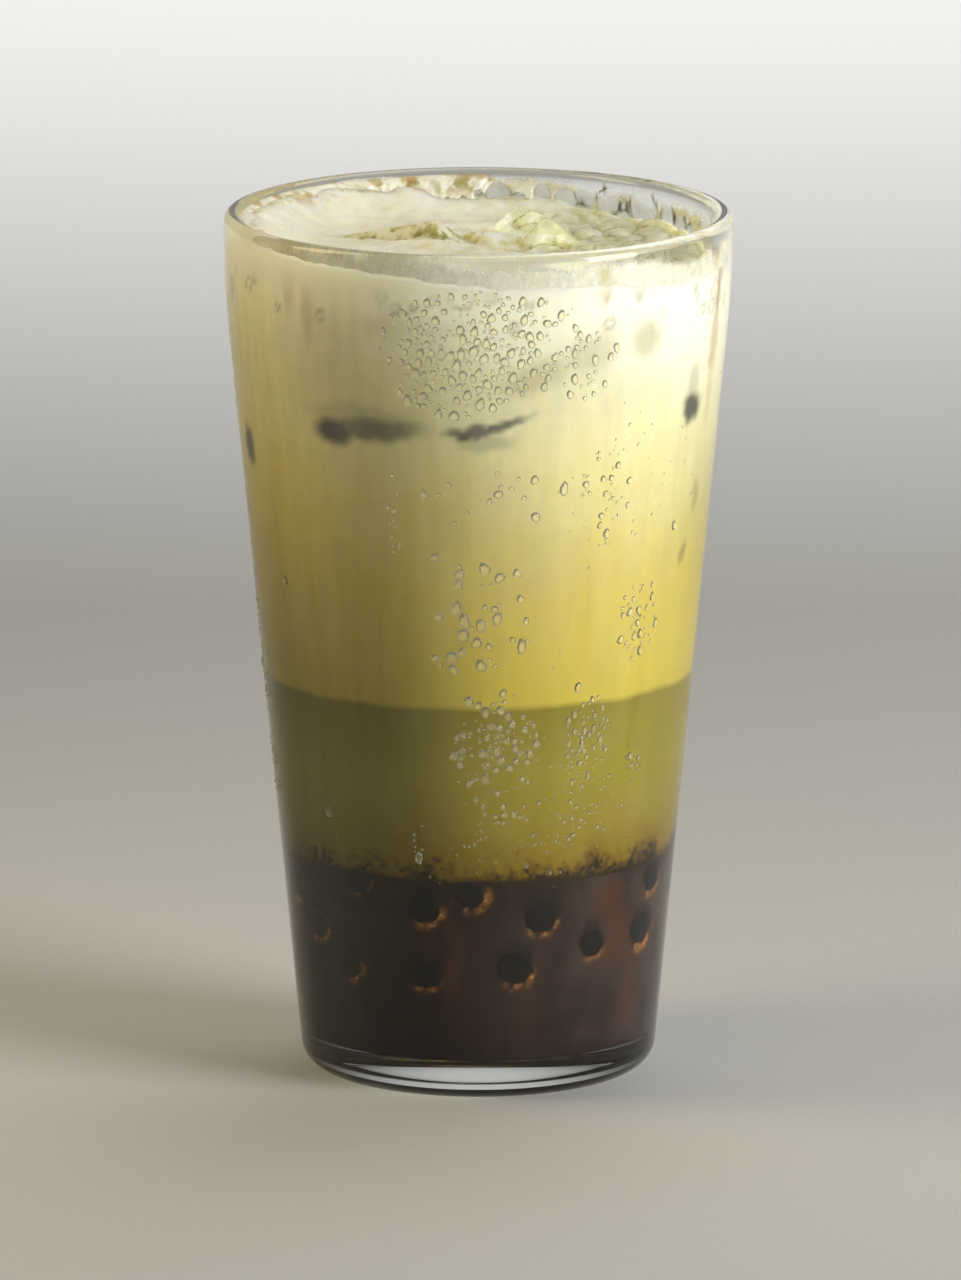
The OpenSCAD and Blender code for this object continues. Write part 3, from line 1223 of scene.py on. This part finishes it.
# bearing, height, half width and half height of single brown stains
STAINS = [
    (-51, 149.0, 2.4, 1.0), (-46, 145.5, 1.6, 3.2), (-44, 142.5, 1.8, 1.6),
    (31, 146.5, 1.2, 2.4), (33.5, 143.6, 0.7, 1.6), (66, 148.4, 1.8, 1.2),
    (72, 146.5, 1.2, 2.2), (58, 148.8, 1.2, 0.8), (215, 147, 2.6, 1.6), (240, 146, 2.0, 2.4),
    (262, 147.4, 2.4, 1.2),
]


def off_ring(bearing, other, z):
    """Distance along the wall from one bearing to another, in millimetres."""
    return np.radians((bearing - other + 180) % 360 - 180) * bore_r(z)


def film_edge(bearing, spots):
    """Height up to which foam clings: the lip on the left and behind, lower in front and on the right."""
    turn = np.radians(bearing)
    left = 0.5 - 0.5 * np.sin(turn)
    behind = 0.5 - 0.5 * np.cos(turn)
    edge = 147.4 + 3.0 * smooth(1.6 * left - 0.25) + 1.6 * behind * smooth(1.5 * left + 0.2)
    return edge + 4.5 * (cloudy(spots, 7, 91) - 0.5) + 1.6 * (cloudy(spots, 1.8, 92) - 0.5)


def film_masks(bearing, z):
    """How opaque the film is, its thickness, creases, stains and where it is bubbles."""
    spots = on_ring(bore_r(z), bearing, z)
    turn = np.radians(bearing)
    arc_mm = (np.radians(bearing) % (2 * np.pi)) * bore_r(FOAM_Z)
    cells = [(math.radians(b % 360) * bore_r(FOAM_Z), h, r) for b, h, r in WALL_BUBBLES]
    low = (math.radians(98) * ARC_R, BUBBLE_LOW)
    high = (math.radians(205) * ARC_R, 147.0)
    small = crowd(93, 80, low, high, (0.6, 1.3), lambda a, b: 1)
    roof, crease = bubble_roof(arc_mm, z, np.concatenate([cells, small]), 0.9)
    bubbly = smooth((roof - 0.2) / 0.4) * (z > BUBBLE_LOW)
    edge = film_edge(bearing, spots)
    cling = smooth((edge - z) / 1.4)
    front = 0.5 + 0.5 * np.cos(turn)
    left = smooth(0.75 - 1.3 * np.sin(turn)) * (1 - 0.92 * smooth(2.2 * np.cos(turn) - 0.6))
    lace = cloudy(spots, 1.1, 94, 3)
    dense = smooth((lace - 0.34 + 0.45 * left + 0.10 * (1 - front)) / 0.3)
    cover = cling * (0.70 + 0.30 * dense) * (0.88 + 0.12 * left)
    cover = np.maximum(cover * (1 - 0.7 * bubbly), bubbly * (0.04 + 0.94 * crease))
    lumps = cloudy(spots, 4.5, 95) * smooth((edge - z) / 5)
    thick = 0.10 + cling * left * (0.5 + 4.2 * lumps) + 0.1 * lace * cling
    thick = np.maximum(thick * (1 - 0.8 * bubbly), 0.2 * roof * bubbly)
    behind = smooth(1.4 * left - 0.2)
    along_edge = smooth(1.2 - abs(z - edge + 1.8) / 2.2)
    stain = smooth((cloudy(spots * (1, 1, 1.4), 2.6, 96) - 0.50) / 0.10) * along_edge * behind
    for at, height, half_w, half_h in STAINS:
        across, up = off_ring(bearing, at, z) / half_w, (z - height) / half_h
        stain = np.maximum(stain, np.exp(-(across**2) - up**2))
    return cover, thick, crease * bubbly, stain, bubbly


def film_grid():
    """The inner face follows the film's thickness; the outer face lies just inside the glass."""
    z = np.arange(FILM_LOW, FILM_HIGH, FILM_STEP)
    around = np.arange(FILM_COLUMNS) * 360 / FILM_COLUMNS
    cover, thick, *_ = film_masks(around[None, :], z[:, None])
    fade = smooth((FILM_HIGH - z) / 0.8)[:, None]
    inner = on_ring(bore_r(z)[:, None] - 0.02 - thick * fade, around[None, :], z[:, None])
    z_out = z[::6]
    outer = on_ring(bore_r(z_out)[:, None] + FILM_REACH, around[None, :], z_out[:, None])
    return np.concatenate([outer, inner[::-1], outer[:1]])


def film_finish():
    """Half-clear foam: ivory behind, greyer in front, olive at bubble walls, with brown and olive stains."""
    f = Finish("clinging foam")
    stain_tone = f.mix(f.noise(2.2, 3).step(0.40, 0.60), (0.52, 0.31, 0.07), (0.50, 0.46, 0.16))
    colour = f.mix(f.noise(2.5, 3).step(0.35, 0.65), (0.95, 0.92, 0.80), (0.88, 0.86, 0.72))
    colour = f.mix(f.axis("Y").step(-2, 8), (0.80, 0.78, 0.68), colour)
    colour = f.mix(f.attribute("bubbly"), colour, (0.66, 0.68, 0.55))
    colour = f.mix(f.attribute("stain") * 0.8, colour, stain_tone)
    colour = f.mix(f.attribute("crease"), colour, (0.10, 0.09, 0.012))
    lace = f.cells(0.8, {"feature": "DISTANCE_TO_EDGE"})
    hole = lace.step(0.0, 0.35) * (1 - f.attribute("bubbly")) * 0.12
    cover = f.attribute("cover") - hole
    return f.finish(
        f.surface(
            Base_Color=colour,
            Roughness=0.3,
            Alpha=cover,
            Subsurface_Weight=1.0,
            Subsurface_Radius=(1.0, 0.9, 0.7),
            Subsurface_Scale=0.25 * MM,
            Normal=f.bump(lace, 0.10, 0.5),
        )
    )


film = skin("foam_film", film_grid(), caps=False)
spots = places(film)
cover, thick, crease, stain, bubbly = film_masks(bearing_of(spots), spots[:, 2])
for name, values in {"cover": cover, "crease": crease, "stain": stain, "bubbly": bubbly}.items():
    paint(film, name, values)
wear(film, film_finish(), "milk_foam")

# %% [markdown]
# ## Condensation
#
# The glass is cold, so water gathers outside: first as a fog too fine to see as drops, then as beads, and
# the heaviest beads run down and wipe a clearer track. The fog is a thin skin just off the wall whose alpha
# runs from a few thousandths over the syrup to about a tenth over the foam. The beads are real domes of
# water. Their flat undersides lie a hair inside the glass, so that light goes from water into glass with no
# air between.

# %% Fog
FOG_LOW = 9
FOG_HIGH = GLASS_H - 5
FOG_OFF = 0.02
FOG_THICK = 0.03


# bearing, lower and upper end, half width of the tracks that running beads have wiped
TRACKS = [
    (-17, 44, 70, 0.55), (-10.5, 98, 127, 0.5), (-3, 100, 125, 0.6), (9.5, 47, 66, 0.5),
    (2, 60, 74, 0.4), (14, 104, 124, 0.5), (17, 57, 74, 0.4), (27, 74, 100, 0.6),
    (33, 101, 128, 0.6), (38, 48, 70, 0.5), (46, 60, 96, 0.6), (-25, 80, 101, 0.6),
    (-33, 60, 90, 0.6), (-47, 50, 110, 0.9), (-58, 90, 128, 0.7), (57, 100, 132, 0.6),
    (95, 60, 110, 0.7), (120, 80, 124, 0.7), (146, 40, 96, 0.6), (171, 70, 120, 0.7),
    (196, 52, 101, 0.6), (222, 76, 128, 0.7), (249, 48, 92, 0.7), (274, 72, 118, 0.6),
]


def wiped(bearing, z):
    """1 inside a track, 0 beside it; tracks sway a little as they run."""
    clear = np.zeros(np.broadcast(bearing, z).shape)
    for k, (at, low, high, half) in enumerate(TRACKS):
        sway = 0.5 * np.sin(z / 3.7 + k) + 0.4 * np.sin(z / 9.1 + 2 * k)
        across = np.exp(-(((off_ring(bearing, at, z) + sway) / half) ** 4))
        clear = np.maximum(clear, across * smooth((z - low) / 1.5) * smooth((high - z) / 6))
    return clear


def fog_finish():
    """A bloom in clouds and streaks, faint over the syrup and thinner on the tracks and towards the right."""
    f = Finish("fog on the glass")
    z = f.axis("Z")
    ends = z.step(FOG_LOW, FOG_LOW + 14) * (1 - z.step(FOG_HIGH - 12, FOG_HIGH))
    cloud = f.noise(15, 4, 0.6).step(0.33, 0.70)
    streaks = f.noise(3.0, 2, where=f.stretched(1, 1, 0.045)).step(0.36, 0.62)
    thicker = 0.003 + z.step(SYRUP_TOP - 1, SYRUP_TOP + 14) * 0.047
    thicker = thicker + z.step(MATCHA_TOP - 3, MATCHA_TOP + 14) * 0.05
    bloom = thicker * (0.45 + cloud * 0.6 + streaks * 0.25)
    bloom = bloom * ends * (1 - f.attribute("wiped") * 0.4) * (1 - f.axis("X").step(26, 38) * 0.6)
    # painted light: the fog is tinted olive-yellow over the syrup and matcha, fading to ivory up the milk, for
    # the drink's light scattered by the droplets
    colour = f.mix(z.step(MATCHA_TOP - 4, MILK_TOP), (0.84, 0.76, 0.42), (0.94, 0.91, 0.80))
    return f.finish(f.surface(Base_Color=colour, Roughness=0.8, Specular_IOR_Level=0.0, Alpha=bloom))


fog_z = np.linspace(FOG_LOW, FOG_HIGH, 90)
fog_bearings = np.arange(720) / 2
fog_out = on_ring(wall_r(fog_z)[:, None] + FOG_OFF + FOG_THICK, fog_bearings[None, :], fog_z[:, None])
fog_in = on_ring(wall_r(fog_z[::8])[:, None] + FOG_OFF, fog_bearings[None, :], fog_z[::8, None])
fog = skin("fog", np.concatenate([fog_out, fog_in[::-1], fog_out[:1]]), caps=False)
spots = places(fog)
paint(fog, "wiped", wiped(bearing_of(spots), spots[:, 2]))
wear(fog, fog_finish(), "clear_glass")

# %% Where the beads sit
# lowest and highest bearing, lowest and highest height, number, smallest and largest radius
FRONT_BEADS = [
    (-18, 19, 128, 143, 620, 0.28, 0.78), (-16, 6, 124, 134, 300, 0.35, 0.95),
    (19, 32, 126, 137, 60, 0.35, 0.8), (-22.5, -19, 100, 112, 24, 0.3, 0.6),
    (-12, 20, 104.5, 113, 30, 0.4, 0.95), (26, 43, 100, 115, 46, 0.25, 0.65),
    (-10, 10.5, 75, 97, 80, 0.35, 1.05), (40, 52, 79, 90, 60, 0.3, 0.75),
    (-4, 14, 53, 72, 330, 0.25, 0.8), (24, 36, 59, 71.5, 120, 0.25, 0.65),
    (45, 50.5, 56, 63, 26, 0.25, 0.5), (14, 40, 47, 60, 110, 0.2, 0.5),
    (-12, 55, 42, 52, 110, 0.15, 0.45), (20, 60, 92, 128, 80, 0.15, 0.4),
    (-70, 80, 44, 146, 150, 0.10, 0.24),
]
BACK_PATCHES = 17
DRY_SIDE = 250  # from this bearing on the beads stay small


def bead_patches():
    """The patches in front, then others like them round the sides and the back."""
    random = np.random.default_rng(101)
    patches = list(FRONT_BEADS)
    for _ in range(BACK_PATCHES):
        bearing, z = random.uniform(100, 268), random.uniform(45, 132)
        wide, high = random.uniform(8, 20), random.uniform(7, 18)
        largest = 0.8 if bearing < DRY_SIDE else 0.4
        count = int(wide * high / 1.5)
        patches.append((bearing - wide, bearing + wide, z, z + high, count, 0.25, largest))
    patches.append((80, 290, 44, 146, 200, 0.10, 0.24))
    patches += [(at, at + 0.1, low, low + 0.1, 1, 0.75, 0.8) for at, low, _, _ in TRACKS]
    return patches


def bead_spots():
    """Bearing, height and radius of each bead.

    They are scattered over ovals and thinned out between clumps. One that would touch a larger one is
    left out.
    """
    random = np.random.default_rng(102)
    found = []
    for low, high, bottom, top, count, small, large in bead_patches():
        r = small + (large - small) * random.random(count) ** 2.2
        turn, out = random.uniform(0, 2 * np.pi, count), random.random(count) ** 0.8
        bearing = (low + high) / 2 + (high - low) * 0.64 * out * np.cos(turn)
        z = (bottom + top) / 2 + (top - bottom) * 0.64 * out * np.sin(turn)
        found.append(np.stack([bearing, z, r], -1))
    beads = np.concatenate(found)
    beads = beads[(beads[:, 1] > FOG_LOW + 3) & (beads[:, 1] < FOG_HIGH - 1)]
    clumps = cloudy(on_ring(wall_r(beads[:, 1]), beads[:, 0], beads[:, 1]), 4.5, 104)
    beads = beads[random.random(len(beads)) < 0.25 + 1.5 * smooth((clumps - 0.35) / 0.3)]
    beads = beads[np.argsort(-beads[:, 2])]
    at = on_ring(wall_r(beads[:, 1]), beads[:, 0], beads[:, 1])
    kept = []
    for k, (place, r) in enumerate(zip(at, beads[:, 2])):
        near = np.linalg.norm(at[kept] - place, axis=1)
        if (near > 0.98 * (r + beads[kept, 2])).all():
            kept.append(k)
    return beads[kept]


beads = bead_spots()
print(len(beads), "beads of water")

# %% Domes of water
BEAD_SINK = 0.04
BEAD_RISE = 0.4  # height of a bead as a share of its radius
WATER_IOR = 1.33


def domes(beads, rings=3, columns=9):
    """Every bead at once: a cap whose height falls with the square of the way out.

    Its outline is a circle with two and three lobes added. Large beads are longer than wide and narrower
    on top.
    """
    random = np.random.default_rng(103)
    bearing, z, r = beads.T[:, :, None, None]
    out = np.linspace(1, 0.34, rings)[None, :, None]
    turn = np.linspace(0, 2 * np.pi, columns, endpoint=False)[None, None, :]
    long = 1 + 0.5 * random.random(len(beads))[:, None, None] * smooth((r - 0.3) / 0.4)
    phase = 2 * np.pi * random.random((2, len(beads), 1, 1))
    lobes = 1 + 0.13 * np.cos(2 * turn + phase[0]) + 0.09 * np.cos(3 * turn + phase[1])
    side = r * out * lobes * np.cos(turn) * (1 - 0.12 * np.sin(turn) * smooth((r - 0.3) / 0.4))
    rise = r * out * lobes * np.sin(turn) * long
    off_wall = BEAD_RISE * r * (1 - out**2) - BEAD_SINK * (out > 0.99)
    height = z + rise
    return on_ring(wall_r(height) + off_wall, bearing + np.degrees(side / wall_r(height)), height)


def bead_piece(name, beads):
    """Rim to crown in rings, a point on top and one underneath."""
    grid = domes(beads)
    count, rings, columns = grid.shape[:3]
    bearing, z, r = beads.T
    crown = on_ring(wall_r(z) + BEAD_RISE * r, bearing, z)
    under = on_ring(wall_r(z) - BEAD_SINK, bearing, z)
    points = np.concatenate([grid.reshape(count, -1, 3), crown[:, None], under[:, None]], 1)
    here = np.arange(columns)
    after = (here + 1) % columns
    low = np.arange(rings - 1)[:, None] * columns
    quads = np.stack([low + here, low + after, low + columns + after, low + columns + here], -1)
    quads = quads.reshape(-1, 4)
    top = (rings - 1) * columns
    fans = np.concatenate([
        np.stack([top + here, top + after, np.full(columns, rings * columns)], -1),
        np.stack([after, here, np.full(columns, rings * columns + 1)], -1),
    ])
    starts = np.arange(count)[:, None, None] * points.shape[1]
    faces = (quads + starts).reshape(-1, 4).tolist() + (fans + starts).reshape(-1, 3).tolist()
    return mesh_piece(name, points.reshape(-1, 3), faces)


def water():
    """Still water: clear, faintly milky, and bending light less than glass does."""
    f = Finish("water")
    colour = (1, 0.97, 0.80, 1)
    body = f.surface(Base_Color=colour, Roughness=0.08, IOR=WATER_IOR, Transmission_Weight=0.92)
    return f.finish(f.clear_to_lamps(body, (0.96, 0.96, 0.96)))


wear(bead_piece("beads", beads), water(), "clear_glass")
